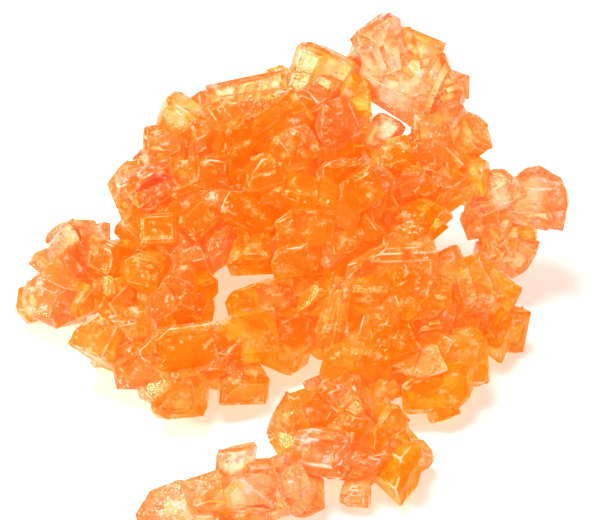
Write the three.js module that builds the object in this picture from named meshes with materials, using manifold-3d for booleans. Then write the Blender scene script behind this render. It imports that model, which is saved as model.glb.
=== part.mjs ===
// A heap of orange rock candy: sugar crystals grown along strings, the strings
// piled on each other and grown together into one solid mass.
// Units are millimetres, +Z is up, and the heap rests on z = 0.
import * as THREE from "three";
import { ConvexGeometry } from "three/addons/geometries/ConvexGeometry.js";
import { mergeVertices } from "three/addons/utils/BufferGeometryUtils.js";
import Module from "manifold-3d";

const wasm = await Module();
wasm.setup();

// ---- Driving dimensions ----
const corePitch = 8; // distance along a string between the sections of its core
const coreSides = 5;
const coreRoughness = [0.75, 1.2]; // range of a core corner's distance from the string, as a share of that
const coreRadius = 0.78; // of the core that the crystals are rooted in, as a share of its strand's radius
const coreCap = 0.6; // how far a core runs past its ends, and its width there, as shares of its radius
const ringPitch = 9.5; // distance along a string between rings of crystals on the far side
const crystalsPerRing = 4;
const ringJitter = 0.25; // most that a crystal stands off its even place in the ring, as a share of the step
const ringWidth = [0.85, 1.3]; // range of a crystal's width, as a share of its strand's radius
const ringDepth = [0.65, 1]; // range of its depth, as a share of its width
const ringLength = [0.95, 1.45]; // range of its length, as a share of its strand's radius
const ringSeat = 0.42; // how far a crystal's middle stands out from the string, the same way
const endSeat = 0.3; // how far past its end the last ring is set, the same way
const endLean = 0.5; // how much further the last ring leans out, as a tangent
const nearSize = 0.9; // near crystals are this share of the sizes listed for them
const nearSink = 0.1; // and sit this share of their length behind the places listed
const lean = 0.75; // most that a crystal leans from square to the string, as a tangent
const monoclinicShear = 0.14; // sugar's crystals are leaning blocks
const edgeCut = [0.1, 0.45]; // range of the cut along one edge, as a share of the width and depth
const endSlant = [-0.3, 0.3]; // range of an end's slope across the width and across the depth
const rootShare = 0.75; // a crystal's root is this share of its width and depth
const layoutTilt = 40; // places are laid out as seen from this many degrees above the front
const farSide = 0.1; // a ring's crystals face the front by at most this, as a cosine
const buriedUnder = 1; // a ring's crystal is left out if its tip clears another core by less than this
const floorReach = 400; // size of the block that cuts the feet flat
const mergeWithin = 0.001; // corners closer than this are one
const firstSeed = 7001; // each strand has draws of its own
const seedStep = 977;

// A place is [across, rise, height]: rise is measured up the tilted view and
// height from the floor, so that the depth follows from the two.
const tilt = THREE.MathUtils.degToRad(layoutTilt);
function placeAt(across, rise, height) {
  return new THREE.Vector3(across, (rise - height * Math.cos(tilt)) / Math.sin(tilt), height);
}

function riseOf({ y, z }) {
  return y * Math.sin(tilt) + z * Math.cos(tilt);
}

// Each strand is a string's run as places with a radius, and the large crystals of its near
// side: place, bearing and elevation of the long axis in degrees, width, depth, length, spin.
const strands = {
  crown: {
    run: [[16, 42, 47, 6], [21, 37, 43, 7.5], [28, 34, 41, 6]],
    crystals: [
      [17, 43.5, 49, 130, 50, 11, 9, 11, 10],
      [21.5, 36, 42, -20, -8, 13, 12, 16, 5],
      [29, 33.5, 40, -60, -20, 7, 7, 9, 20],
    ],
  },
  topRidge: {
    run: [[-25, 23, 30, 7], [-18, 26, 33, 7.5], [-8, 29, 35, 8], [4, 32, 38, 9], [9, 29, 36, 8]],
    crystals: [
      [-22.5, 29, 35, 150, 10, 9, 8, 13, 10],
      [-27.5, 24, 31, 170, 0, 7, 6, 8, 30],
      [-8.5, 33, 38, 8, 12, 8, 7, 16, 20],
      [4.5, 37, 42, 60, 50, 12, 10, 12, 0],
      [7, 27, 36, -80, 50, 9, 9, 11, 15],
      [11.5, 32, 38, -90, 60, 6, 8, 11, 0],
      [-3, 28.5, 38, 20, 35, 7, 6, 13, 30],
      [-13.5, 23.5, 34, -80, 50, 9, 7, 8, 25],
    ],
  },
  leftShoulder: {
    run: [[-31, 14, 23, 7], [-24, 17, 25, 8], [-16, 19, 27, 8]],
    crystals: [
      [-30.5, 15, 25, 178, -35, 8, 8, 12, 10],
      [-22, 16, 27, -110, 50, 9, 7, 9, 30],
      [-16.5, 17, 31, -100, 50, 7, 6, 8, 0],
    ],
  },
  centre: {
    run: [[-14, 12, 25, 8], [-4, 14, 27, 9], [6, 12, 26, 9], [14, 12, 26, 8], [2, 3, 20, 9]],
    crystals: [
      [-10, 9.5, 26, -60, 45, 12, 7, 8, -50],
      [-6.5, 17, 33, -90, 60, 8, 6, 8, 10],
      [2, 13, 31, -20, 8, 7, 6, 14, 40],
      [1.5, 7.5, 27, -90, 20, 12, 7, 10, 0],
      [12, 14, 30, -70, 40, 8, 7, 9, 20],
      [0, 2, 22, -95, -10, 10, 8, 9, 10],
      [7, 3, 22, -80, 10, 7, 6, 8, 0],
      [-9.5, 1.5, 20, -90, -20, 9, 7, 9, 10],
    ],
  },
  innerFoot: {
    run: [[-4, -9, 10, 8.5], [-2, -13, 8, 8]],
    crystals: [
      [-5.5, -9.5, 10, -100, 40, 10, 9, 12, 0],
      [-1, -14, 8, -80, 20, 9, 9, 10, 20],
    ],
  },
  rightShoulder: {
    run: [[20, 20, 29, 6], [28, 24, 31, 8], [31, 17, 26, 8], [23, 14, 25, 8]],
    crystals: [
      [26.5, 25.5, 34, 90, 75, 8, 8, 13, 0],
      [33, 25, 31, 0, 45, 8, 7, 10, 15],
      [29.5, 15.5, 25, -60, -10, 9, 8, 11, 20],
      [34.5, 17.5, 26, -20, 10, 7, 6, 9, 0],
      [19.5, 20.5, 30, -100, 50, 8, 7, 8, 25],
      [17.2, 26, 33, 60, 40, 6, 5, 7, 0],
      [22.5, 15, 27, -90, 30, 7, 6, 8, 10],
    ],
  },
  farRight: {
    run: [[38, 13, 21, 5.5], [46, 13, 20, 5], [40, 8, 16, 6], [41, 2, 11, 6]],
    crystals: [
      [48.5, 13, 20, 2, 4, 11, 10, 11, 5],
      [40, 13, 20.5, 30, 20, 9, 8, 10, 10],
      [36.5, 8, 16, 170, -20, 6, 6, 8, 0],
      [40, 2, 11, -70, -20, 6, 6, 8, 20],
      [45, 2, 10.5, -20, -20, 6, 5, 7, 0],
      [45, 7, 14, -10, 20, 6, 5, 7, 0],
    ],
  },
  rightBlock: {
    run: [[23, 7, 21, 7], [19, -2, 18, 9], [19, -12, 13, 10], [14, -19, 8, 9], [24, -21, 8, 9]],
    crystals: [
      [18.5, -0.5, 20, -90, 12, 19, 9, 12, 0],
      [24, 8, 23, 45, 40, 8, 6, 10, 0],
      [17.5, 8, 22, 100, 50, 7, 6, 8, 30],
      [29.5, -2, 16, 20, 20, 8, 6, 8, 30],
      [14, -7, 17, -100, -5, 10, 8, 8, 10],
      [26, -8.5, 16, -85, 15, 7.5, 6.5, 8, 0],
      [25, -15, 12, -85, 10, 6, 7.5, 8, 0],
      [18, -15.5, 13, -80, 35, 9, 8, 9, 15],
      [6.5, -13, 13, -100, -60, 5, 6, 16, 0],
      [11, -19.5, 9, -100, 10, 13, 8, 9, 0],
      [26.5, -24, 6.5, -85, 20, 14, 9, 10, 0],
    ],
  },
  rightFoot: {
    run: [[33, -7, 13, 7], [36, -13, 7, 7.5]],
    crystals: [
      [34.5, -6.5, 14, -60, -30, 9, 8, 11, 0],
      [40, -6.5, 12, -20, -30, 6, 5, 8, 20],
      [39, -14.5, 5.5, -30, 0, 8, 7, 8, 10],
      [33, -15.5, 8, -90, -50, 6, 6, 11, 0],
    ],
  },
  leftMiddle: {
    run: [[-31, 3, 15, 8], [-24, 2, 16, 9], [-21, -2, 15, 8]],
    crystals: [
      [-27, 6, 22, -100, 45, 7, 6, 9, 10],
      [-20, 8, 23, -80, 50, 8, 6, 8, 35],
      [-30, -2, 16, -110, 20, 8, 7, 9, 0],
      [-24, -4.5, 17, -90, 10, 8, 7, 8, 20],
      [-20, -5.5, 15, -60, 0, 7, 6, 9, 0],
      [-33, 6, 18, 150, 40, 6, 6, 8, 0],
      [-16, 3.5, 19, -60, 10, 8, 7, 9, 20],
    ],
  },
  leftArm: {
    run: [[-38, 0, 11, 6], [-45, 1, 10, 7], [-49, -7, 7, 7.5]],
    crystals: [
      [-37.5, 0.5, 14, -120, 30, 8, 7, 9, 0],
      [-46.5, 2, 13, 150, 30, 9, 8, 10, 15],
      [-48.5, -8, 7.5, -130, 30, 10, 9, 11, 0],
      [-44.5, -8, 8, -40, 10, 7, 6, 8, 20],
    ],
  },
  leftFoot: {
    run: [[-36, -16, 8, 8.5], [-26, -19, 9, 9], [-15, -18, 9, 9]],
    crystals: [
      [-38, -16.5, 9, -120, 60, 9, 8, 14, 0],
      [-31.5, -20.5, 7, -100, 20, 8, 8, 10, 10],
      [-23, -25.5, 7, -95, 25, 10, 9, 10, 8],
      [-11.5, -23.5, 6, -70, 5, 10, 6, 10, -10],
      [-11, -14.5, 12, -80, 25, 14, 10, 10, 0],
      [-21, -17, 12, -100, 45, 12, 8, 10, 15],
    ],
  },
  frontMiddle: {
    run: [[12, -24, 5, 6], [6, -28, 6, 7], [2, -31, 8, 8], [8, -34, 8, 9], [16, -36, 7, 8]],
    crystals: [
      [4.5, -35.5, 9, -100, 35, 11, 9, 10, 0],
      [15.5, -32, 10, -50, 30, 10, 7, 10, 20],
      [-2, -31, 7, 160, 20, 7, 6, 8, 0],
      [18.5, -39, 6, -40, 10, 10, 8, 9, 10],
      [10.5, -43, 3.5, -90, 0, 6, 5, 6, 0],
    ],
  },
  frontTip: {
    run: [[-3, -41, 7, 7], [-11, -44, 8, 8.5], [-19, -46, 7, 7]],
    crystals: [
      [-22.5, -45.5, 7, -130, 40, 12, 8, 12, 45],
      [-11.5, -37.5, 12, 100, 60, 7, 6, 8, 0],
      [-9, -42, 11, -90, 30, 9, 7, 9, 10],
      [-2.5, -42.5, 7, -20, 30, 7, 7, 10, 0],
      [-11, -49, 6, -90, 20, 12, 9, 10, 0],
    ],
  },
  upperBack: {
    run: [[-19, 20, 20, 7], [-4, 22, 22, 8], [11, 22, 22, 8]],
    crystals: [],
  },
  underBack: {
    run: [[-24, 11, 9, 9], [-8, 16, 10, 10], [10, 16, 11, 10], [20, 10, 13, 9]],
    crystals: [],
  },
};

// Gaps that stay open right through the heap, along the tilted view: [across, rise, radius].
const windows = [[-14, -6, 3.5], [15, 30, 2.5], [21.5, 26.5, 1.5], [31.5, 6, 3]];

// The strings have grown together inside the heap: places with a radius.
const innerMass = [
  [-20, 9, 17, 11], [-6, 14, 21, 12], [8, 13, 21, 12], [8, 2, 17, 11], [-25, -9, 11, 8], [22, -10, 11, 9],
  [2, 22, 30, 9], [-7, 4, 19, 7], [-36, -7, 10, 6],
];

// ---- Random draws that come out the same in every run ----
const lehmerFactor = 48271;
const lehmerModulus = 2147483647;

function dice(seed) {
  let state = seed;
  return (low, high) => {
    state = (state * lehmerFactor) % lehmerModulus;
    return low + (high - low) * (state / lehmerModulus);
  };
}

// ---- One crystal ----
// A leaning block about the origin, along Z, with a cut edge, a narrow root and a slanting end.
function crystalCorners(width, depth, length, roll) {
  const cut = roll(...edgeCut);
  const slantX = roll(...endSlant);
  const slantY = roll(...endSlant);
  const outline = [
    [-0.5, -0.5],
    [0.5 - cut, -0.5],
    [0.5, cut - 0.5],
    [0.5, 0.5],
    [-0.5, 0.5],
  ];
  const corners = [];
  for (const [rise, spread] of [[-0.5, rootShare], [0.5, 1]])
    for (const [u, v] of outline) {
      const x = u * width * spread;
      const y = v * depth * spread;
      const z = rise * (length + slantX * x + slantY * y);
      corners.push(new THREE.Vector3(x + monoclinicShear * z, y, z));
    }
  return corners;
}

// Turns and moves corners so that the crystal stands at foot, along the way out.
function stand(corners, foot, out, spin) {
  const reference = Math.abs(out.z) < 0.9 ? new THREE.Vector3(0, 0, 1) : new THREE.Vector3(1, 0, 0);
  const side = new THREE.Vector3().crossVectors(out, reference).normalize();
  const back = new THREE.Vector3().crossVectors(out, side);
  const axes = new THREE.Matrix4().makeBasis(side, back, out);
  const turned = new THREE.Matrix4().makeRotationZ(spin).premultiply(axes).setPosition(foot);
  return corners.map((corner) => corner.applyMatrix4(turned));
}

function solidOf(geometry) {
  geometry.deleteAttribute("normal");
  geometry.deleteAttribute("uv");
  const merged = mergeVertices(geometry, mergeWithin);
  return new wasm.Manifold(
    new wasm.Mesh({
      numProp: 3,
      vertProperties: merged.attributes.position.array,
      triVerts: new Uint32Array(merged.index.array),
    }),
  );
}

function makeCrystal(foot, out, spin, width, depth, length, roll) {
  return solidOf(new ConvexGeometry(stand(crystalCorners(width, depth, length, roll), foot, out, spin)));
}

function makeLump({ at, radius }) {
  return solidOf(new THREE.IcosahedronGeometry(radius).translate(at.x, at.y, at.z));
}

// ---- A strand of crystals ----
// Stations along the string's run: where, which way, the radius there, and -1 or 1 at its ends.
function stringLine(run, pitch) {
  const places = run.map(([across, rise, height]) => placeAt(across, rise, height));
  const last = run.length - 1;
  const stations = [];
  for (let i = 0; i < last; i++) {
    const steps = Math.max(1, Math.round(places[i].distanceTo(places[i + 1]) / pitch));
    for (let k = 0; k < steps; k++)
      stations.push({
        at: places[i].clone().lerp(places[i + 1], k / steps),
        radius: THREE.MathUtils.lerp(run[i][3], run[i + 1][3], k / steps),
        end: i + k === 0 ? -1 : 0,
      });
  }
  stations.push({ at: places[last], radius: run[last][3], end: 1 });
  stations.forEach((station, j) => {
    const before = stations[Math.max(0, j - 1)].at;
    const after = stations[Math.min(stations.length - 1, j + 1)].at;
    station.along = after.clone().sub(before).normalize();
  });
  return stations;
}

// The core is a chain of faceted links, each drawn tight round two neighbouring sections.
function coreSection({ at, along, radius }, offset, share, roll) {
  const side = new THREE.Vector3().crossVectors(along, new THREE.Vector3(0, 0, 1)).normalize();
  const up = new THREE.Vector3().crossVectors(side, along);
  const turn = roll(0, 2 * Math.PI);
  return Array.from({ length: coreSides }, (_, i) => {
    const angle = turn + (i * 2 * Math.PI) / coreSides;
    const reach = radius * coreRadius * share * roll(...coreRoughness);
    return at
      .clone()
      .addScaledVector(along, offset * radius)
      .addScaledVector(side, Math.cos(angle) * reach)
      .addScaledVector(up, Math.sin(angle) * reach);
  });
}

function makeCore(line, roll) {
  const sections = line.map((station) => coreSection(station, 0, 1, roll));
  sections.unshift(coreSection(line[0], -coreCap, coreCap, roll));
  sections.push(coreSection(line[line.length - 1], coreCap, coreCap, roll));
  return sections.slice(1).map((section, i) => solidOf(new ConvexGeometry([...sections[i], ...section])));
}

function bearingVector(bearing, elevation) {
  const turn = THREE.MathUtils.degToRad(bearing);
  const climb = THREE.MathUtils.degToRad(elevation);
  return new THREE.Vector3(Math.cos(turn) * Math.cos(climb), Math.sin(turn) * Math.cos(climb), Math.sin(climb));
}

function nearCrystals(rows, roll) {
  return rows.map(([across, rise, height, bearing, elevation, width, depth, length, spin]) => {
    const out = bearingVector(bearing, elevation);
    const middle = placeAt(across, rise, height).addScaledVector(out, -nearSink * length);
    const [wide, deep, long] = [width, depth, length].map((size) => size * nearSize);
    return makeCrystal(middle, out, THREE.MathUtils.degToRad(spin), wide, deep, long, roll);
  });
}

function closesWindow(middle, length) {
  return windows.some(
    ([across, rise, open]) => Math.hypot(middle.x - across, riseOf(middle) - rise) < open + length / 2,
  );
}

// Rings of crystals stand round the far side of a run, where no other core or gap is in their way.
const towardsFront = bearingVector(-90, layoutTilt);

function ringCrystals(line, others, roll) {
  const pieces = [];
  for (const { at, along, radius, end } of line) {
    const side = new THREE.Vector3().crossVectors(along, new THREE.Vector3(0, 0, 1)).normalize();
    const up = new THREE.Vector3().crossVectors(side, along);
    const turn = roll(0, 2 * Math.PI);
    for (let i = 0; i < crystalsPerRing; i++) {
      const angle = turn + ((i + roll(-ringJitter, ringJitter)) * 2 * Math.PI) / crystalsPerRing;
      const square = side.clone().multiplyScalar(Math.cos(angle)).addScaledVector(up, Math.sin(angle));
      const seat = at.clone().addScaledVector(along, endSeat * end * radius);
      const middle = seat.addScaledVector(square, ringSeat * radius);
      const out = square.clone().addScaledVector(along, roll(-lean, lean) + endLean * end).normalize();
      const width = radius * roll(...ringWidth);
      const depth = width * roll(...ringDepth);
      const length = radius * roll(...ringLength);
      const spin = roll(0, 2 * Math.PI);
      const tip = middle.clone().addScaledVector(out, length / 2);
      const buried = others.some(({ at, radius }) => tip.distanceTo(at) < radius * coreRadius + buriedUnder);
      if (square.dot(towardsFront) > farSide || tip.z < 0 || buried || closesWindow(middle, length)) continue;
      pieces.push(makeCrystal(middle, out, spin, width, depth, length, roll));
    }
  }
  return pieces;
}

// ---- The heap ----
const filling = innerMass.map(([across, rise, height, radius]) => {
  return { at: placeAt(across, rise, height), radius };
});
const grown = Object.entries(strands).flatMap(([name, { run, crystals }], i) => {
  const roll = dice(firstSeed + i * seedStep);
  const otherRuns = Object.keys(strands).filter((key) => key !== name);
  const others = [...filling, ...otherRuns.flatMap((key) => stringLine(strands[key].run, corePitch))];
  return [
    ...makeCore(stringLine(run, corePitch), roll),
    ...nearCrystals(crystals, roll),
    ...ringCrystals(stringLine(run, ringPitch), others, roll),
  ];
});
const underfloor = solidOf(
  new THREE.BoxGeometry(floorReach, floorReach, floorReach).translate(0, 0, -floorReach / 2),
);
const fused = wasm.Manifold.union([...filling.map(makeLump), ...grown]).subtract(underfloor);

// Only the outer body is kept: sealed hollows are filled and loose scraps are dropped.
function outerBody(solid) {
  return solid.decompose().sort((a, b) => b.volume() - a.volume())[0];
}

function geometryOf(solid) {
  const { vertProperties, triVerts } = solid.getMesh();
  const geometry = new THREE.BufferGeometry();
  geometry.setAttribute("position", new THREE.BufferAttribute(new Float32Array(vertProperties), 3));
  geometry.setIndex(new THREE.BufferAttribute(triVerts, 1));
  return geometry;
}

const sugar = new THREE.MeshStandardMaterial({ color: 0xff9233, roughness: 0.12, metalness: 0 });
const outer = geometryOf(outerBody(fused));
outer.computeBoundingBox();
const { min, max } = outer.boundingBox;
outer.translate(-(min.x + max.x) / 2, -(min.y + max.y) / 2, -min.z);

// A mesh's numbers are rounded, which can pinch a sliver off, so the outer body is taken once more.
const candyHeap = new THREE.Mesh(geometryOf(outerBody(solidOf(outer))), sugar);
candyHeap.name = "candy_heap";

const heap = new THREE.Group();
heap.add(candyHeap);
export default heap;
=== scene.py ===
import math

import bmesh
import bpy
from mathutils import Matrix, Vector
from mathutils.bvhtree import BVHTree


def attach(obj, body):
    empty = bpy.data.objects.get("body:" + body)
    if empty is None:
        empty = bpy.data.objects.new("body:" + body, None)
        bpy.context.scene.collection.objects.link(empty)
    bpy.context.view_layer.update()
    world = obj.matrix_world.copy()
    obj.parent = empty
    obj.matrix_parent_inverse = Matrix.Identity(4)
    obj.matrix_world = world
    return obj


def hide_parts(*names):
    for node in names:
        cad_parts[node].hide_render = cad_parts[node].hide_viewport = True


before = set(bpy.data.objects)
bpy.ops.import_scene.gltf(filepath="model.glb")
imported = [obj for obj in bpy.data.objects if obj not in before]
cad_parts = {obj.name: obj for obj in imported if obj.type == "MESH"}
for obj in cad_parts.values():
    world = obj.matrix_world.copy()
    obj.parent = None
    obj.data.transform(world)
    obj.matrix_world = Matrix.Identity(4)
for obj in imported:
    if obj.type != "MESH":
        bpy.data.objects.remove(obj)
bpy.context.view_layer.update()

# A heap of orange rock candy: sugar crystals grown along strings that have grown together.
# The layout is in millimetres; meshes are brought to metres at the end.
mm = 0.001
fullTurn = 2 * math.pi
scene = bpy.context.scene
scene.view_settings.view_transform = "Standard"

# ---- Camera ----
camera = {
    "target": (2.171, 14.285, 15),  # mm, in the frame
    "elevation": 40,  # degrees
    "distance": 500,  # mm
    "lens": 150,
    "clip": (0.01, 20),  # m
}


def makeCamera():
    lifted = math.radians(camera["elevation"])
    back = Vector((0, -math.cos(lifted), math.sin(lifted)))
    made = bpy.data.objects.new("camera", bpy.data.cameras.new("camera"))
    made.data.lens = camera["lens"]
    made.data.clip_start, made.data.clip_end = camera["clip"]
    made.location = (Vector(camera["target"]) + back * camera["distance"]) * mm
    made.rotation_euler = back.to_track_quat("Z", "Y").to_euler()
    scene.collection.objects.link(made)
    scene.camera = made


makeCamera()

# ---- Layout of the heap ----
# A place is [across, rise, height]: rise is measured up the view from 40 degrees above the
# front and height from the floor. A run is the string's places with a radius; a crystal is a
# place, the bearing and elevation of its long axis, width, depth, length and spin.
layout = {
    "tilt": 40,  # degrees
    "shift": (2.171, 32.185, 0),  # from the layout's origin to the frame's
    "firstSeed": 7001,
    "seedStep": 977,
    "windows": [[-14, -6, 3.5], [15, 30, 2.5], [21.5, 26.5, 1.5], [31.5, 6, 3]],  # gaps that stay open
    "innerMass": [  # where the strings have grown together, with a radius
        [-20, 9, 17, 11], [-6, 14, 21, 12], [8, 13, 21, 12], [8, 2, 17, 11], [-25, -9, 11, 8],
        [22, -10, 11, 9], [2, 22, 30, 9], [-7, 4, 19, 7], [-36, -7, 10, 6],
    ],
}
strands = {
    "crown": {
        "run": [[16, 42, 47, 6], [21, 37, 43, 7.5], [28, 34, 41, 6]],
        "crystals": [
            [17, 43.5, 49, 130, 50, 11, 9, 11, 10],
            [21.5, 36, 42, -20, -8, 13, 12, 16, 5],
            [29, 33.5, 40, -60, -20, 7, 7, 9, 20],
        ],
    },
    "topRidge": {
        "run": [[-25, 23, 30, 7], [-18, 26, 33, 7.5], [-8, 29, 35, 8], [4, 32, 38, 9], [9, 29, 36, 8]],
        "crystals": [
            [-22.5, 29, 35, 150, 10, 9, 8, 13, 10],
            [-27.5, 24, 31, 170, 0, 7, 6, 8, 30],
            [-8.5, 33, 38, 8, 12, 8, 7, 16, 20],
            [4.5, 37, 42, 60, 50, 12, 10, 12, 0],
            [7, 27, 36, -80, 50, 9, 9, 11, 15],
            [11.5, 32, 38, -90, 60, 6, 8, 11, 0],
            [-3, 28.5, 38, 20, 35, 7, 6, 13, 30],
            [-13.5, 23.5, 34, -80, 50, 9, 7, 8, 25],
        ],
    },
    "leftShoulder": {
        "run": [[-31, 14, 23, 7], [-24, 17, 25, 8], [-16, 19, 27, 8]],
        "crystals": [
            [-30.5, 15, 25, 178, -35, 8, 8, 12, 10],
            [-22, 16, 27, -110, 50, 9, 7, 9, 30],
            [-16.5, 17, 31, -100, 50, 7, 6, 8, 0],
        ],
    },
    "centre": {
        "run": [[-14, 12, 25, 8], [-4, 14, 27, 9], [6, 12, 26, 9], [14, 12, 26, 8], [2, 3, 20, 9]],
        "crystals": [
            [-10, 9.5, 26, -60, 45, 12, 7, 8, -50],
            [-6.5, 17, 33, -90, 60, 8, 6, 8, 10],
            [2, 13, 31, -20, 8, 7, 6, 14, 40],
            [1.5, 7.5, 27, -90, 20, 12, 7, 10, 0],
            [12, 14, 30, -70, 40, 8, 7, 9, 20],
            [0, 2, 22, -95, -10, 10, 8, 9, 10],
            [7, 3, 22, -80, 10, 7, 6, 8, 0],
            [-9.5, 1.5, 20, -90, -20, 9, 7, 9, 10],
        ],
    },
    "innerFoot": {
        "run": [[-4, -9, 10, 8.5], [-2, -13, 8, 8]],
        "crystals": [
            [-5.5, -9.5, 10, -100, 40, 10, 9, 12, 0],
            [-1, -14, 8, -80, 20, 9, 9, 10, 20],
        ],
        "fillers": [[-10.4, -8.6, 12, -110, 25, 6, 6, 9, 20], [3.6, -7, 14, -90, 20, 8, 7, 9, 0]],
    },
    "rightShoulder": {
        "run": [[20, 20, 29, 6], [28, 24, 31, 8], [31, 17, 26, 8], [23, 14, 25, 8]],
        "crystals": [
            [26.5, 25.5, 34, 90, 75, 8, 8, 13, 0],
            [33, 25, 31, 0, 45, 8, 7, 10, 15],
            [29.5, 15.5, 25, -60, -10, 9, 8, 11, 20],
            [34.5, 17.5, 26, -20, 10, 7, 6, 9, 0],
            [19.5, 20.5, 30, -100, 50, 8, 7, 8, 25],
            [17.2, 26, 33, 60, 40, 6, 5, 7, 0],
            [22.5, 15, 27, -90, 30, 7, 6, 8, 10],
        ],
    },
    "farRight": {
        "run": [[38, 13, 21, 5.5], [46, 13, 20, 5], [40, 8, 16, 6], [41, 2, 11, 6]],
        "crystals": [
            [48.5, 13, 20, 2, 4, 11, 10, 11, 5],
            [40, 13, 20.5, 30, 20, 9, 8, 10, 10],
            [36.5, 8, 16, 170, -20, 6, 6, 8, 0],
            [40, 2, 11, -70, -20, 6, 6, 8, 20],
            [45, 2, 10.5, -20, -20, 6, 5, 7, 0],
            [45, 7, 14, -10, 20, 6, 5, 7, 0],
        ],
    },
    "rightBlock": {
        "run": [[23, 7, 21, 7], [19, -2, 18, 9], [19, -12, 13, 10], [14, -19, 8, 9], [24, -21, 8, 9]],
        "crystals": [
            [18.5, -0.5, 20, -90, 12, 19, 9, 12, 0],
            [24, 8, 23, 45, 40, 8, 6, 10, 0],
            [17.5, 8, 22, 100, 50, 7, 6, 8, 30],
            [29.5, -2, 16, 20, 20, 8, 6, 8, 30],
            [14, -7, 17, -100, -5, 10, 8, 8, 10],
            [26, -8.5, 16, -85, 15, 7.5, 6.5, 8, 0],
            [25, -15, 12, -85, 10, 6, 7.5, 8, 0],
            [18, -15.5, 13, -80, 35, 9, 8, 9, 15],
            [6.5, -13, 13, -100, -60, 5, 6, 16, 0],
            [11, -19.5, 9, -100, 10, 13, 8, 9, 0],
            [26.5, -24, 6.5, -85, 20, 14, 9, 10, 0],
        ],
    },
    "rightFoot": {
        "run": [[33, -7, 13, 7], [36, -13, 7, 7.5]],
        "crystals": [
            [34.5, -6.5, 14, -60, -30, 9, 8, 11, 0],
            [40, -6.5, 12, -20, -30, 6, 5, 8, 20],
            [39, -14.5, 5.5, -30, 0, 8, 7, 8, 10],
            [33, -15.5, 8, -90, -50, 6, 6, 11, 0],
        ],
    },
    "leftMiddle": {
        "run": [[-31, 3, 15, 8], [-24, 2, 16, 9], [-21, -2, 15, 8]],
        "crystals": [
            [-27, 6, 22, -100, 45, 7, 6, 9, 10],
            [-20, 8, 23, -80, 50, 8, 6, 8, 35],
            [-30, -2, 16, -110, 20, 8, 7, 9, 0],
            [-24, -4.5, 17, -90, 10, 8, 7, 8, 20],
            [-20, -5.5, 15, -60, 0, 7, 6, 9, 0],
            [-33, 6, 18, 150, 40, 6, 6, 8, 0],
            [-16, 3.5, 19, -60, 10, 8, 7, 9, 20],
        ],
    },
    "leftArm": {
        "run": [[-38, 0, 11, 6], [-45, 1, 10, 7], [-49, -7, 7, 7.5]],
        "crystals": [
            [-37.5, 0.5, 14, -120, 30, 8, 7, 9, 0],
            [-46.5, 2, 13, 150, 30, 9, 8, 10, 15],
            [-48.5, -8, 7.5, -130, 30, 10, 9, 11, 0],
            [-44.5, -8, 8, -40, 10, 7, 6, 8, 20],
        ],
    },
    "leftFoot": {
        "run": [[-36, -16, 8, 8.5], [-26, -19, 9, 9], [-15, -18, 9, 9]],
        "crystals": [
            [-38, -16.5, 9, -120, 60, 9, 8, 14, 0],
            [-31.5, -20.5, 7, -100, 20, 8, 8, 10, 10],
            [-23, -25.5, 7, -95, 25, 10, 9, 10, 8],
            [-11.5, -23.5, 6, -70, 5, 10, 6, 10, -10],
            [-11, -14.5, 12, -80, 25, 14, 10, 10, 0],
            [-21, -17, 12, -100, 45, 12, 8, 10, 15],
        ],
    },
    "frontMiddle": {
        "run": [[12, -24, 5, 6], [6, -28, 6, 7], [2, -31, 8, 8], [8, -34, 8, 9], [16, -36, 7, 8]],
        "crystals": [
            [4.5, -35.5, 9, -100, 35, 11, 9, 10, 0],
            [15.5, -32, 10, -50, 30, 10, 7, 10, 20],
            [-2, -31, 7, 160, 20, 7, 6, 8, 0],
            [18.5, -39, 6, -40, 10, 10, 8, 9, 10],
            [10.5, -43, 3.5, -90, 0, 6, 5, 6, 0],
        ],
    },
    "frontTip": {
        "run": [[-3, -41, 7, 7], [-11, -44, 8, 8.5], [-19, -46, 7, 7]],
        "crystals": [
            [-22.5, -45.5, 7, -130, 40, 12, 8, 12, 45],
            [-11.5, -37.5, 12, 100, 60, 7, 6, 8, 0],
            [-9, -42, 11, -90, 30, 9, 7, 9, 10],
            [-2.5, -42.5, 7, -20, 30, 7, 7, 10, 0],
            [-11, -49, 6, -90, 20, 12, 9, 10, 0],
        ],
    },
    "upperBack": {"run": [[-19, 20, 20, 7], [-4, 22, 22, 8], [11, 22, 22, 8]], "crystals": []},
    "underBack": {
        "run": [[-24, 11, 9, 9], [-8, 16, 10, 10], [10, 16, 11, 10], [20, 10, 13, 9]],
        "crystals": [],
    },
}

tilt = math.radians(layout["tilt"])
towardsFront = Vector((0, -math.cos(tilt), math.sin(tilt)))


def placeAt(across, rise, height):
    return Vector((across, (rise - height * math.cos(tilt)) / math.sin(tilt), height))


def riseOf(place):
    return place.y * math.sin(tilt) + place.z * math.cos(tilt)


def dice(seed):  # draws that come out the same in every run
    multiplier, modulus = 48271, 2147483647
    state = seed

    def roll(low, high):
        nonlocal state
        state = state * multiplier % modulus
        return low + (high - low) * state / modulus

    return roll


def bearingVector(bearing, elevation):
    turn, climb = math.radians(bearing), math.radians(elevation)
    return Vector((math.cos(turn) * math.cos(climb), math.sin(turn) * math.cos(climb), math.sin(climb)))


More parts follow.
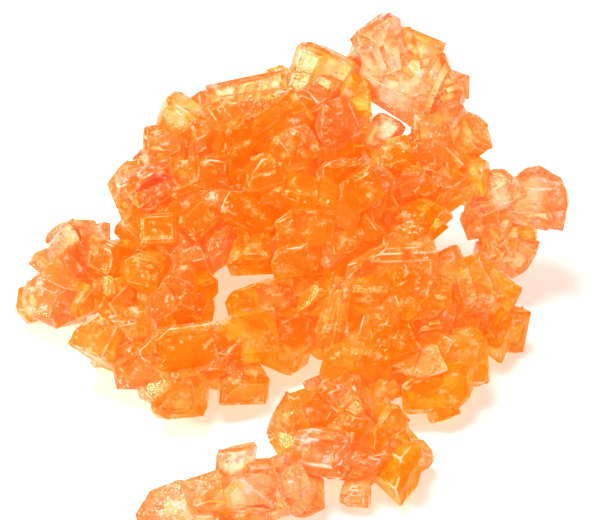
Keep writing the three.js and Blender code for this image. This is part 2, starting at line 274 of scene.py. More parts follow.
# ---- Strings ----
def stringLine(run, pitch):  # stations along a run; end is -1 or 1 at its ends
    places = [placeAt(*stop[:3]) for stop in run]
    stations = []
    for i in range(len(run) - 1):
        steps = max(1, math.floor((places[i + 1] - places[i]).length / pitch + 0.5))
        for k in range(steps):
            share = k / steps
            stations.append({
                "at": places[i].lerp(places[i + 1], share),
                "radius": run[i][3] + (run[i + 1][3] - run[i][3]) * share,
                "end": -1 if i + k == 0 else 0,
            })
    stations.append({"at": places[-1], "radius": run[-1][3], "end": 1})
    for j, station in enumerate(stations):
        before = stations[max(0, j - 1)]["at"]
        after = stations[min(len(stations) - 1, j + 1)]["at"]
        station["along"] = (after - before).normalized()
        station["side"] = station["along"].cross(Vector((0, 0, 1))).normalized()
        station["up"] = station["side"].cross(station["along"])
    return stations


# ---- One crystal ----
crystal = {
    "detailSeed": 90217,
    "edgeCut": (0.1, 0.45),  # cut along one edge, as a share of the width and depth
    "endSlant": (-0.3, 0.3),  # an end's slope across the width and across the depth
    "rootShare": 0.75,  # a crystal's root is this share of its width and depth
    "shear": 0.14,  # sugar's crystals are leaning blocks
    "cornerAim": (0.5, 1),  # how evenly a cut corner faces the three sides
    "cornerDepth": (0.05, 0.25),  # of the crystal's narrower side, as the five after it
    "tableRim": (0.1, 0.24),  # width of the slope round a raised face
    "tableRise": (0.04, 0.12),
    "hollowRim": (0.05, 0.14),  # some raised faces have a shallow hollow again
    "hollowDepth": (0.015, 0.05),
    "edgeRound": 0.035,  # width of the softened edges
    "sharp": 0.6,  # radians between two faces from which their edge is softened
    "paler": 0.75,  # how much paler than its strand a crystal may be
    "patternShift": (-50, 50),  # mm, so that no two crystals have the same pattern
}
detailRoll = dice(crystal["detailSeed"])
# How many corners are cut off, how many of the largest faces are raised with a slope all round, the
# share of these that is hollowed again, and the steps in the softened edges.
fine = {"corners": 3, "tables": 4, "hollowed": 0.6, "rounding": 2}
middling = {"corners": 2, "tables": 2, "hollowed": 0.4, "rounding": 1}
coarse = {"corners": 1, "tables": 0, "hollowed": 0, "rounding": 1}


def cutPlane(bm, place, normal):  # cuts away what lies past the plane, and closes the cut
    everything = bm.verts[:] + bm.edges[:] + bm.faces[:]
    bmesh.ops.bisect_plane(bm, geom=everything, plane_co=place, plane_no=normal, clear_outer=True)
    bmesh.ops.holes_fill(bm, edges=[e for e in bm.edges if e.is_boundary], sides=0)


def standingAxes(out, spin):  # z along out, x and y from any axis that is well away from it
    reference = Vector((0, 0, 1)) if abs(out.z) < 0.9 else Vector((1, 0, 0))
    side = out.cross(reference).normalized()
    return Matrix((side, out.cross(side), out)).transposed().to_4x4() @ Matrix.Rotation(spin, 4, "Z")


def makeBlock(width, depth, length, roll):  # one long edge cut off, slanting ends
    cut = roll(*crystal["edgeCut"])
    slantX = roll(*crystal["endSlant"])
    slantY = roll(*crystal["endSlant"])
    bm = bmesh.new()
    bmesh.ops.create_cube(bm, size=1)
    edge = [e for e in bm.edges if all(v.co.x > 0 > v.co.y for v in e.verts)]
    bmesh.ops.bevel(bm, geom=edge, offset=cut, segments=1, profile=0.5, affect="EDGES", material=-1)
    for v in bm.verts:
        spread = crystal["rootShare"] if v.co.z < 0 else 1
        x, y = v.co.x * width * spread, v.co.y * depth * spread
        z = math.copysign(0.5, v.co.z) * (length + slantX * x + slantY * y)
        v.co = (x + crystal["shear"] * z, y, z)
    return bm


def cutCorners(bm, narrow, count):
    for _ in range(count):
        sign = [math.copysign(1, detailRoll(-1, 1)) for _ in range(3)]
        normal = Vector([sign[k] * detailRoll(*crystal["cornerAim"]) for k in range(3)]).normalized()
        reach = max(v.co.dot(normal) for v in bm.verts)
        cutPlane(bm, normal * (reach - detailRoll(*crystal["cornerDepth"]) * narrow), normal)


def raiseTables(bm, narrow, detail, stained):
    broad = sorted(bm.faces, key=lambda face: (-face.calc_area(), face.index))
    for face in broad[:detail["tables"]]:
        slopes = bmesh.ops.inset_individual(
            bm, faces=[face], thickness=narrow * detailRoll(*crystal["tableRim"]),
            depth=narrow * detailRoll(*crystal["tableRise"]), use_even_offset=True,
        )["faces"]
        for slope in slopes:
            slope[stained] = 1
        if detailRoll(0, 1) < detail["hollowed"]:
            bmesh.ops.inset_individual(
                bm, faces=[face], thickness=narrow * detailRoll(*crystal["hollowRim"]),
                depth=-narrow * detailRoll(*crystal["hollowDepth"]), use_even_offset=True,
            )


def softenEdges(bm, narrow, steps, edgeHighlightAndDust):
    sharp = [e for e in bm.edges if e.is_manifold and e.calc_face_angle() > crystal["sharp"]]
    softened = bmesh.ops.bevel(
        bm, geom=sharp, offset=crystal["edgeRound"] * narrow, segments=steps,
        profile=0.5, affect="EDGES", material=-1, clamp_overlap=True,
    )["faces"]
    # these faces take a painted white highlight in places in the material, and a stain elsewhere
    for face in softened:
        face[edgeHighlightAndDust] = 1


def makeCrystal(foot, out, spin, width, depth, length, roll, detail, paleness):
    bm = makeBlock(width, depth, length, roll)
    numbers = bm.faces.layers.float
    edgeHighlightAndDust, shade, pale, stained = [numbers.new(name) for name in ("edgeHighlightAndDust", "shade", "pale", "stained")]
    local = bm.loops.layers.float_vector.new("local")
    narrow = min(width, depth)
    cutCorners(bm, narrow, detail["corners"])
    raiseTables(bm, narrow, detail, stained)
    softenEdges(bm, narrow, detail["rounding"], edgeHighlightAndDust)
    tone = detailRoll(0, 1)
    ownPaleness = min(1, paleness + crystal["paler"] * detailRoll(0, 1) ** 2)
    shift = Vector([detailRoll(*crystal["patternShift"]) for _ in range(3)])
    for face in bm.faces:
        face[shade] = tone
        face[pale] = ownPaleness
        for loop in face.loops:
            loop[local] = loop.vert.co + shift
    bm.transform(Matrix.Translation(foot) @ standingAxes(out, spin))
    return bm


# Crystals that have grown out of a large one, nearly in line with it.
twin = {
    "onNear": 2,
    "onRing": 2,
    "size": (0.42, 0.7),
    "offset": 0.32,  # to the side, as a share of the width and depth
    "rise": (-0.25, 0.08),  # along it, as a share of the length
    "lean": 0.16,
    "grown": 1.15,  # of that length
}


def growTwins(count, foot, out, spin, width, depth, length, paleness):
    made = []
    side, back = [standingAxes(out, spin).to_3x3().col[k] for k in (0, 1)]
    for _ in range(count):
        across = side * detailRoll(-1, 1) * twin["offset"] * width
        across += back * detailRoll(-1, 1) * twin["offset"] * depth
        place = foot + across + out * detailRoll(*twin["rise"]) * length
        leaning = out + side * detailRoll(-1, 1) * twin["lean"] + back * detailRoll(-1, 1) * twin["lean"]
        turn = spin + detailRoll(-1, 1) * twin["lean"]
        wide, deep, long = [size * detailRoll(*twin["size"]) for size in (width, depth, length)]
        if closesWindow(place, long) or place.z < 0:
            continue
        grown = long * twin["grown"]
        made.append(makeCrystal(
            place, leaning.normalized(), turn, wide, deep, grown, detailRoll, middling, paleness
        ))
    return made


# ---- Strands, with the same draws as the solid's ----
strand = {
    "corePitch": 8,  # mm along the string
    "coreSides": 5,
    "coreRoughness": (0.75, 1.2),
    "coreRadius": 0.78,  # of the string's radius
    "coreCap": 0.6,
    "ringPitch": 9.5,  # mm along the string
    "crystalsPerRing": 4,
    "ringJitter": 0.25,
    "ringWidth": (0.85, 1.3),  # of the string's radius
    "ringDepth": (0.65, 1),  # of the width
    "ringLength": (0.95, 1.45),  # of the string's radius
    "ringReach": 0.93,  # of the solid's length
    "ringSeat": 0.42,
    "endSeat": 0.3,
    "endLean": 0.5,  # the last crystals lean past the string's end
    "nearSize": 0.95,  # of the solid's size
    "nearSink": 0.1,  # of the length
    "lean": 0.75,
    "farSide": 0.1,  # ring crystals turned more to the front than this are left to the near ones
    "buriedUnder": 1,  # mm of sugar
}


def coreSection(station, offset, share, roll):
    turn = roll(0, fullTurn)
    points = []
    for i in range(strand["coreSides"]):
        angle = turn + i * fullTurn / strand["coreSides"]
        reach = station["radius"] * strand["coreRadius"] * share * roll(*strand["coreRoughness"])
        square = station["side"] * math.cos(angle) + station["up"] * math.sin(angle)
        points.append(station["at"] + station["along"] * offset * station["radius"] + square * reach)
    return points


def hullOf(points):
    bm = bmesh.new()
    for point in points:
        bm.verts.new(point)
    made = bmesh.ops.convex_hull(bm, input=bm.verts)
    bmesh.ops.delete(bm, geom=[v for v in made["geom_interior"] if isinstance(v, bmesh.types.BMVert)])
    return bm


def makeCore(line, roll):
    sections = [coreSection(station, 0, 1, roll) for station in line]
    sections.insert(0, coreSection(line[0], -strand["coreCap"], strand["coreCap"], roll))
    sections.append(coreSection(line[-1], strand["coreCap"], strand["coreCap"], roll))
    return [hullOf(a + b) for a, b in zip(sections, sections[1:])]


def nearCrystals(rows, roll, paleRows, twins):
    made = []
    for k, (across, rise, height, bearing, elevation, width, depth, length, spin) in enumerate(rows):
        out = bearingVector(bearing, elevation)
        turn = math.radians(spin)
        middle = placeAt(across, rise, height) - out * strand["nearSink"] * length
        wide, deep, long = [size * strand["nearSize"] for size in (width, depth, length)]
        paleness = paleRows.get(k, 0)
        made.append(makeCrystal(middle, out, turn, wide, deep, long, roll, fine, paleness))
        made += growTwins(twins, middle, out, turn, wide, deep, long, paleness)
    return made


def closesWindow(middle, length):
    return any(
        math.hypot(middle.x - across, riseOf(middle) - rise) < gap + length / 2
        for across, rise, gap in layout["windows"]
    )


def buriedIn(tip, others, margin):
    return any(
        (tip - other["at"]).length < other["radius"] * strand["coreRadius"] + margin for other in others
    )


def ringCrystals(line, others, roll, paleness):
    made = []
    for station in line:
        radius, along = station["radius"], station["along"]
        turn = roll(0, fullTurn)
        for i in range(strand["crystalsPerRing"]):
            jitter = roll(-strand["ringJitter"], strand["ringJitter"])
            angle = turn + (i + jitter) * fullTurn / strand["crystalsPerRing"]
            square = station["side"] * math.cos(angle) + station["up"] * math.sin(angle)
            seat = station["at"] + along * strand["endSeat"] * station["end"] * radius
            middle = seat + square * strand["ringSeat"] * radius
            slope = roll(-strand["lean"], strand["lean"]) + strand["endLean"] * station["end"]
            out = (square + along * slope).normalized()
            width = radius * roll(*strand["ringWidth"])
            depth = width * roll(*strand["ringDepth"])
            length = radius * roll(*strand["ringLength"])
            spin = roll(0, fullTurn)
            tip = middle + out * length / 2
            if square.dot(towardsFront) > strand["farSide"] or tip.z < 0:
                continue
            if buriedIn(tip, others, strand["buriedUnder"]) or closesWindow(middle, length):
                continue
            length *= strand["ringReach"]
            made.append(makeCrystal(middle, out, spin, width, depth, length, roll, middling, paleness))
            made += growTwins(twin["onRing"], middle, out, spin, width, depth, length, paleness)
    return made


# ---- Small crystals that cover the strands between the large ones ----
small = {
    "seed": 40111,
    "pitch": 5,  # mm along the string
    "spacing": 6,  # mm round it
    "seat": 0.84,  # of the core's radius
    "jitter": 0.3,
    "shift": 1,  # mm along the string
    "width": (2.4, 5.2),  # mm
    "depth": (0.6, 1),  # of the width
    "length": (4, 8),  # mm
    "lean": 0.8,  # along the string
    "sideways": 0.5,
    "lowest": 0.5,  # mm above the floor
    "nearSide": -0.2,  # those turned further from the front than this hide no near crystal
    "clear": 0.55,  # they keep out of the middle of a near crystal's face, by this share of its size
}


def hidesNear(middle, rows):
    return any(
        math.hypot(middle.x - row[0], riseOf(middle) - row[1]) < small["clear"] * (row[5] + row[7]) / 2
        for row in rows
    )


def smallCrystals(line, others, rows, roll, paleness):
    made = []
    for station in line:
        reach = station["radius"] * strand["coreRadius"] * small["seat"]
        count = round(fullTurn * reach / small["spacing"])
        turn = roll(0, fullTurn)
        for i in range(count):
            angle = turn + (i + roll(-small["jitter"], small["jitter"])) * fullTurn / count
            square = station["side"] * math.cos(angle) + station["up"] * math.sin(angle)
            across = station["side"] * -math.sin(angle) + station["up"] * math.cos(angle)
            slope = roll(-small["lean"], small["lean"]) + strand["endLean"] * station["end"]
            sideways = across * roll(-small["sideways"], small["sideways"])
            out = (square + station["along"] * slope + sideways).normalized()
            width = roll(*small["width"])
            depth = width * roll(*small["depth"])
            length = roll(*small["length"])
            spin = roll(0, fullTurn)
            shift = station["along"] * roll(-small["shift"], small["shift"])
            middle = station["at"] + square * reach + shift
            tip = middle + out * length / 2
            if tip.z < small["lowest"] or buriedIn(tip, others, 0) or closesWindow(middle, length):
                continue
            if square.dot(towardsFront) > small["nearSide"] and hidesNear(middle, rows):
                continue
            made.append(makeCrystal(middle, out, spin, width, depth, length, roll, coarse, paleness))
    return made


# ---- The sugar round the string: crystals that cross it and have grown into each other ----
body = {
    "seed": 611953,
    "pitch": 4,  # mm along the string
    "each": 3,
    "reach": (0.62, 0.82),  # of the string's radius, to each side
    "width": (0.65, 1.05),  # of the string's radius
    "depth": (0.6, 1),  # of the width
    "jitter": 0.3,
    "slope": 0.35,
    "shortened": 0.75,  # under a near crystal
    "lumpEach": 9,
    "lumpBearing": (-200, 20),  # degrees
    "lumpElevation": (0, 70),
    "lumpWidth": (0.5, 0.8),  # of the lump's radius
    "lumpReach": (0.85, 1.05),
}


def crossingCrystals(line, rows, roll, paleness):
    made = []
    for station in line:
        turn = roll(0, math.pi)
        for i in range(body["each"]):
            angle = turn + (i + roll(-body["jitter"], body["jitter"])) * math.pi / body["each"]
            square = station["side"] * math.cos(angle) + station["up"] * math.sin(angle)
            out = (square + station["along"] * roll(-body["slope"], body["slope"])).normalized()
            if out.dot(towardsFront) < 0:
                out = -out
            width = station["radius"] * roll(*body["width"])
            length = 2 * station["radius"] * roll(*body["reach"])
            depth = width * roll(*body["depth"])
            spin = roll(0, fullTurn)
            if hidesNear(station["at"] + out * length / 2, rows):
                length *= body["shortened"]
            made.append(makeCrystal(station["at"], out, spin, width, depth, length, roll, coarse, paleness))
    return made


def lumpCrystals(place, radius, roll):
    made = []
    for _ in range(body["lumpEach"]):
        out = bearingVector(roll(*body["lumpBearing"]), roll(*body["lumpElevation"]))
        width = radius * roll(*body["lumpWidth"])
        depth = width * roll(*body["depth"])
        spin = roll(0, fullTurn)
        length = 2 * radius * roll(*body["lumpReach"])
        made.append(makeCrystal(place, out, spin, width, depth, length, roll, coarse, 0))
    return made


# Milky hearts: a thin core along each string, and a lump where strings have grown together.
heart = {
    "share": 0.6,  # of the string's radius
    "lump": 0.75,  # of the lump's radius
    "floor": 1.5,  # mm above which they stay
    "palest": 0.3,  # paler strands have none
}


def makeLump(place, radius):
    bm = bmesh.new()
    bmesh.ops.create_icosphere(bm, subdivisions=1, radius=radius)
    bm.transform(Matrix.Translation(place))
    return bm


# ---- Joining ----
def joinSolids(name, solids):
    holder = bpy.data.collections.new(name + "Parts")
    members = []
    for i, bm in enumerate(solids):
        mesh = bpy.data.meshes.new(f"{name}{i}")
        if bm.calc_volume(signed=True) < 0:
            bmesh.ops.reverse_faces(bm, faces=bm.faces)
        bm.to_mesh(mesh)
        bm.free()
        members.append(bpy.data.objects.new(f"{name}{i}", mesh))
    base = members[0]
    scene.collection.objects.link(base)
    for member in members[1:]:
        holder.objects.link(member)
    join = base.modifiers.new("join", "BOOLEAN")
    join.operation, join.operand_type, join.solver = "UNION", "COLLECTION", "MANIFOLD"
    join.collection = holder
    depsgraph = bpy.context.evaluated_depsgraph_get()
    joined = bpy.data.meshes.new_from_object(base.evaluated_get(depsgraph))
    for member in members:
        bpy.data.meshes.remove(member.data)
    bpy.data.collections.remove(holder)
    joined.name = name
    return joined


def dropStrays(bm):  # pairs of faces with nothing between them, lone faces, and edges without a face
    samePlace = {}
    for face in bm.faces:
        samePlace.setdefault(frozenset(face.verts), []).append(face)
    strays = [face for faces in samePlace.values() if len(faces) > 1 for face in faces]
    strays += [face for face in bm.faces if all(edge.is_boundary for edge in face.edges)]
    bmesh.ops.delete(bm, geom=strays, context="FACES")
    bmesh.ops.delete(bm, geom=[edge for edge in bm.edges if edge.is_wire], context="EDGES")


def joinAndCut(name, solids, floor):
    mesh = joinSolids(name, solids)
    bm = bmesh.new()
    bm.from_mesh(mesh)
    everything = bm.verts[:] + bm.edges[:] + bm.faces[:]
    bmesh.ops.bisect_plane(
        bm, geom=everything, plane_co=(0, 0, floor), plane_no=(0, 0, 1), clear_inner=True
    )
    bmesh.ops.holes_fill(bm, edges=[e for e in bm.edges if e.is_boundary], sides=0)
    dropStrays(bm)
    bm.to_mesh(mesh)
    bm.free()
    print(name, len(solids), "solids", sum(len(face.vertices) - 2 for face in mesh.polygons), "triangles")
    return mesh


def finishPiece(name, mesh, material):
    mesh.transform(Matrix.Scale(mm, 4) @ Matrix.Translation(layout["shift"]))
    piece = bpy.data.objects.new(name, mesh)
    mesh.materials.clear()
    mesh.materials.append(material)
    scene.collection.objects.link(piece)
    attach(piece, "root")
    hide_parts("candy_heap")


# ---- Materials ----
def srgb(code):
    values = [int(code[i:i + 2], 16) / 255 for i in (1, 3, 5)]
    return [v / 12.92 if v <= 0.04045 else ((v + 0.055) / 1.055) ** 2.4 for v in values] + [1]


def addNode(tree, kind, settings):  # a setting that is another node's socket becomes a link
    node = tree.nodes.new("ShaderNode" + kind)
    for key, value in settings.items():
        if isinstance(value, bpy.types.NodeSocket):
            tree.links.new(value, node.inputs[key])
        elif isinstance(key, int) or key in node.inputs:
            node.inputs[key].default_value = value
        else:
            setattr(node, key, value)
    return node


def newMaterial(name):
    made = bpy.data.materials.new(name)
    made.use_nodes = True
    made.node_tree.nodes.clear()
    return made, made.node_tree


# Rock sugar grown slowly from dyed syrup: clear blocks that let light through and colour it, with fine
# growth plates on their faces, frosted patches that scatter it, and a painted white highlight on edges in
# places; a painted glow and painted crevice shade stand in for light.
rockSugar = {
    "tints": {  # of orange sugar and of pale sugar
        "deep": ("#FFB446", "#FFD0AC"),
        "light": ("#FFB860", "#FFE2CE"),
        "wisp": ("#FF9C24", "#FFC08C"),  # veins of more dye
        "milk": ("#FFD2A4", "#FFE6DA"),  # frost
        "edgeHighlightAndDust": ("#FFE6CC", "#FFF2EA"),  # painted highlight on edges, and dust
        "edge": ("#FF9618", "#FF9C3C"),  # dried syrup on slopes and edges
        "paintedCreviceShade": ("#F88A0A", "#FCA85C"),  # painted shade between crystals, where ambient occlusion finds a crevice
        "glow": ("#F8A214", "#8A5E40"),  # painted glow: emission standing in for light passed on by the crystals around, in deep sugar
        "paintedBrightGlow": ("#FFB448", "#D99878"),  # painted glow in light sugar
    },
    "clear": 0.92,
    "clouded": 0.2,  # how much of that frost, dust and dried syrup leave
    "smooth": 0.04,
    "frostedRoughness": 0.45,
    "ior": 1.54,
    "paintedGlow": 0.16,  # strength of the painted glow
    "dye": (1, 0.9, 0.5, 1),
    "density": 35,
    "shine": "#FFD0A0",
    "veilSize": 7,  # mm, as the sizes below
    "wispSize": 3.2,
    "highlightAndStainSize": 4,
    "frostSize": 2.6,
    "dustPatch": 7,
    "speckSize": 0.7,
    "creviceDepth": 1.6,
    "plateSize": 2.2,
    "plateStep": 0.18,
    "streakSize": 1,
    "streakDepth": 0.4,
}


def paledTints(tree, pale):  # each tint, between orange sugar's and pale sugar's
    tints = {}
    for name, (orange, palest) in rockSugar["tints"].items():
        tint = addNode(tree, "Mix", {"data_type": "RGBA", 0: pale, 6: srgb(orange), 7: srgb(palest)})
        tints[name] = tint.outputs[2]
    return tints


def unevenDye(tree, place, shade):  # 0 is deep and 1 light: broad veils, and a tone for each crystal
    veils = addNode(tree, "TexNoise", {
        "Vector": place, "Scale": 1 / (rockSugar["veilSize"] * mm), "Detail": 3, "Distortion": 0.6,
    })
    both = addNode(tree, "Math", {"operation": "ADD", 0: veils.outputs["Fac"], 1: shade})
    spread = addNode(tree, "MapRange", {"Value": both.outputs[0], "From Min": 0.5, "From Max": 1.4})
    return spread.outputs[0]


def dyeWisps(tree, local):
    noise = addNode(tree, "TexNoise", {
        "Vector": local, "Scale": 1 / rockSugar["wispSize"], "Detail": 5, "Roughness": 0.6,
        "Distortion": 1.2,
    })
    wisps = addNode(tree, "MapRange", {
        "Value": noise.outputs["Fac"], "From Min": 0.5, "From Max": 0.66, "To Max": 0.8,
    })
    return wisps.outputs[0]


def frostPatches(tree, local):  # a few mm wide, broken up finely
    noise = addNode(tree, "TexNoise", {
        "Vector": local, "Scale": 1 / rockSugar["frostSize"], "Detail": 6, "Roughness": 0.72,
    })
    frost = addNode(tree, "MapRange", {"Value": noise.outputs["Fac"], "From Min": 0.53, "From Max": 0.64})
    return frost.outputs[0]


def sugarDust(tree, place, local):  # patches of white specks
    patches = addNode(tree, "TexNoise", {
        "Vector": place, "Scale": 1 / (rockSugar["dustPatch"] * mm), "Detail": 2,
    })
    dusty = addNode(tree, "MapRange", {"Value": patches.outputs["Fac"], "From Min": 0.55, "From Max": 0.66})
    grit = addNode(tree, "TexNoise", {"Vector": local, "Scale": 1 / rockSugar["speckSize"], "Detail": 2})
    specks = addNode(tree, "MapRange", {"Value": grit.outputs["Fac"], "From Min": 0.56, "From Max": 0.62})
    dust = addNode(tree, "Math", {"operation": "MULTIPLY", 0: dusty.outputs[0], 1: specks.outputs[0]})
    return dust.outputs[0]


def paintedCreviceShading(tree):  # painted shade where crystals meet, found by ambient occlusion
    hidden = addNode(tree, "AmbientOcclusion", {
        "samples": 2, "only_local": True, "Distance": rockSugar["creviceDepth"] * mm,
    })
    paintedCreviceShade = addNode(tree, "MapRange", {
        "Value": hidden.outputs["AO"], "From Min": 0.75, "From Max": 0.35, "To Max": 0.9,
    })
    return paintedCreviceShade.outputs[0]


def growthMarks(tree, local):  # plates with straight sides, then streaks along the crystal
    plates = addNode(tree, "TexVoronoi", {
        "distance": "CHEBYCHEV", "Vector": local, "Scale": 1 / rockSugar["plateSize"],
    })
    height = addNode(tree, "SeparateColor", {"Color": plates.outputs["Color"]})
    steps = addNode(tree, "Bump", {
        "Strength": 0.8, "Distance": rockSugar["plateStep"] * mm, "Height": height.outputs[0],
    })
    stretch = addNode(tree, "Mapping", {"Vector": local, "Scale": (0.9, 0.9, 0.5)})
    streaks = addNode(tree, "TexNoise", {
        "Vector": stretch.outputs["Vector"], "Scale": 1 / rockSugar["streakSize"], "Detail": 4,
        "Roughness": 0.6,
    })
    marked = addNode(tree, "Bump", {
        "Strength": 0.5, "Distance": rockSugar["streakDepth"] * mm, "Height": streaks.outputs["Fac"],
        "Normal": steps.outputs["Normal"],
    })
    return marked.outputs["Normal"]


def dyedRockSugar():
    made, tree = newMaterial("dyedRockSugar")
    place = addNode(tree, "TexCoord", {}).outputs["Object"]
    local = addNode(tree, "Attribute", {"attribute_name": "local"}).outputs["Vector"]  # mm, in the crystal
    shade, pale, rim, slopes = [
        addNode(tree, "Attribute", {"attribute_name": name}).outputs["Fac"]
        for name in ("shade", "pale", "edgeHighlightAndDust", "stained")
    ]
    tints = paledTints(tree, pale)
    spread = unevenDye(tree, place, shade)
    frost = frostPatches(tree, local)
    dust = sugarDust(tree, place, local)
    paintedCreviceShade = paintedCreviceShading(tree)
    plain = addNode(tree, "Mix", {"data_type": "RGBA", 0: spread, 6: tints["deep"], 7: tints["light"]})
    veined = addNode(tree, "Mix", {
        "data_type": "RGBA", 0: dyeWisps(tree, local), 6: plain.outputs[2], 7: tints["wisp"],
    })
    # dried syrup stains the slopes round a face
    highlightAndStainNoise = addNode(tree, "TexNoise", {"Vector": local, "Scale": 1 / rockSugar["highlightAndStainSize"], "Detail": 3})
    patchy = addNode(tree, "MapRange", {
        "Value": highlightAndStainNoise.outputs["Fac"], "From Min": 0.42, "From Max": 0.58, "To Min": 0.85, "To Max": 0.2,
    })
    stain = addNode(tree, "Math", {"operation": "MULTIPLY", 0: slopes, 1: patchy.outputs[0]})
    stained = addNode(tree, "Mix", {
        "data_type": "RGBA", 0: stain.outputs[0], 6: veined.outputs[2], 7: tints["edge"],
    })
    frosted = addNode(tree, "Mix", {
        "data_type": "RGBA", 0: frost, 6: stained.outputs[2], 7: tints["milk"],
    })
    # edges carry a painted white highlight in places and are stained in others
    highlightPatches = addNode(tree, "MapRange", {
        "Value": highlightAndStainNoise.outputs["Fac"], "From Min": 0.44, "From Max": 0.6,
    })
    rimColour = addNode(tree, "Mix", {
        "data_type": "RGBA", 0: highlightPatches.outputs[0], 6: tints["edge"], 7: tints["edgeHighlightAndDust"],
    })
    edged = addNode(tree, "Mix", {
        "data_type": "RGBA", 0: rim, 6: frosted.outputs[2], 7: rimColour.outputs[2],
    })
    dusted = addNode(tree, "Mix", {
        "data_type": "RGBA", 0: dust, 6: edged.outputs[2], 7: tints["edgeHighlightAndDust"],
    })
    # painted shade darkens the colour in the crevices
    colour = addNode(tree, "Mix", {
        "data_type": "RGBA", 0: paintedCreviceShade, 6: dusted.outputs[2], 7: tints["paintedCreviceShade"],
    })
    # frost, the painted edge highlight and dust are rough and cloudy, the painted crevice shade only cloudy
    rimHighlight = addNode(tree, "Math", {"operation": "MULTIPLY", 0: highlightPatches.outputs[0], 1: rim})
    frostOrRim = addNode(tree, "Math", {"operation": "MAXIMUM", 0: frost, 1: rimHighlight.outputs[0]})
    milky = addNode(tree, "Math", {"operation": "MAXIMUM", 0: frostOrRim.outputs[0], 1: dust})
    cloudy = addNode(tree, "Math", {"operation": "MAXIMUM", 0: milky.outputs[0], 1: paintedCreviceShade})
    through = addNode(tree, "MapRange", {
        "Value": cloudy.outputs[0], "To Min": rockSugar["clear"],
        "To Max": rockSugar["clear"] * rockSugar["clouded"],
    })
    rough = addNode(tree, "MapRange", {
        "Value": milky.outputs[0], "To Min": rockSugar["smooth"], "To Max": rockSugar["frostedRoughness"],
    })
    # painted glow: emission standing in for light passed on by the crystals around
    glow = addNode(tree, "Mix", {"data_type": "RGBA", 0: spread, 6: tints["glow"], 7: tints["paintedBrightGlow"]})
    shader = addNode(tree, "BsdfPrincipled", {
        "Base Color": colour.outputs[2], "Roughness": rough.outputs[0], "IOR": rockSugar["ior"],
        "Transmission Weight": through.outputs[0], "Specular Tint": srgb(rockSugar["shine"]),
        "Emission Color": glow.outputs[2], "Emission Strength": rockSugar["paintedGlow"],
        "Normal": growthMarks(tree, local),
    })
    absorb = addNode(tree, "VolumeAbsorption", {"Color": rockSugar["dye"], "Density": rockSugar["density"]})
    addNode(tree, "OutputMaterial", {"Surface": shader.outputs["BSDF"], "Volume": absorb.outputs["Volume"]})
    return made


# The oldest sugar, next to the string, is milky; it has a painted glow, emission standing in for the light
# scattered inside it.
milkySugar = {
    "colours": ("#FFBE50", "#FFD088"),
    "paintedGlow": ("#FF9620", 0.15),
    "veilSize": 4,  # mm
    "facetSize": 3.2,
    "facetDepth": 1.5,
}


def cloudySugar():
    made, tree = newMaterial("cloudySugar")
    place = addNode(tree, "TexCoord", {}).outputs["Object"]
    veils = addNode(tree, "TexNoise", {
        "Vector": place, "Scale": 1 / (milkySugar["veilSize"] * mm), "Detail": 4, "Distortion": 0.8,
    })
    spread = addNode(tree, "MapRange", {"Value": veils.outputs["Fac"], "From Min": 0.35, "From Max": 0.68})
    first, second = [srgb(code) for code in milkySugar["colours"]]
    colour = addNode(tree, "Mix", {"data_type": "RGBA", 0: spread.outputs[0], 6: first, 7: second})
    grown = addNode(tree, "TexVoronoi", {
        "distance": "CHEBYCHEV", "Vector": place, "Scale": 1 / (milkySugar["facetSize"] * mm),
    })
    facets = addNode(tree, "Bump", {
        "Strength": 1, "Distance": milkySugar["facetDepth"] * mm, "Height": grown.outputs["Distance"],
    })
    # painted glow: emission standing in for light scattered inside the milky sugar
    paintedGlowColour, paintedGlowStrength = milkySugar["paintedGlow"]
    shader = addNode(tree, "BsdfPrincipled", {
        "Base Color": colour.outputs[2], "Roughness": 0.7, "Specular IOR Level": 0,
        "Emission Color": srgb(paintedGlowColour), "Emission Strength": paintedGlowStrength,
        "Normal": facets.outputs["Normal"],
    })
    addNode(tree, "OutputMaterial", {"Surface": shader.outputs["BSDF"]})
    return made


# Loose sugar grains, dry and sharp: they scatter nearly white.
def dryGrains():
    made, tree = newMaterial("drySugarGrains")
    shader = addNode(tree, "BsdfPrincipled", {"Base Color": srgb("#FFCC98"), "Roughness": 0.3, "IOR": 1.54})
    addNode(tree, "OutputMaterial", {"Surface": shader.outputs["BSDF"]})
    return made


# ---- The heap ----
# How little dye the crystals have taken: near ones by their place in the list, and the rest of a strand.
paleNear = {
    "crown": {0: 0.9, 1: 0.8, 2: 0.7},
    "topRidge": {1: 0.65, 2: 0.5, 3: 0.65, 4: 0.65},
    "leftShoulder": {0: 0.7},
    "rightShoulder": {0: 0.45, 1: 0.35, 5: 0.8},
    "farRight": {0: 1, 1: 0.6, 4: 0.7},
    "leftArm": {1: 0.5, 2: 0.6},
    "frontMiddle": {0: 0.8, 2: 0.5},
    "frontTip": {0: 1, 1: 0.9, 2: 0.8, 3: 0.9, 4: 0.8},
}
paleStrands = {
    "crown": 0.55, "farRight": 0.35, "frontTip": 0.6, "frontMiddle": 0.2, "leftArm": 0.3, "topRidge": 0.25,
    "leftShoulder": 0.25, "centre": 0.08, "rightShoulder": 0.15, "leftFoot": 0.12, "leftMiddle": 0.08,
}
largeOnly = ("crown", "frontTip")  # the best grown strands have few small crystals
crystalFloor = 0.02  # mm, where the crystals are cut flat
print("strands")
filling = [{"at": placeAt(*row[:3]), "radius": row[3]} for row in layout["innerMass"]]
allNear = [row for item in strands.values() for row in item["crystals"]]
crystals, hearts = [], []
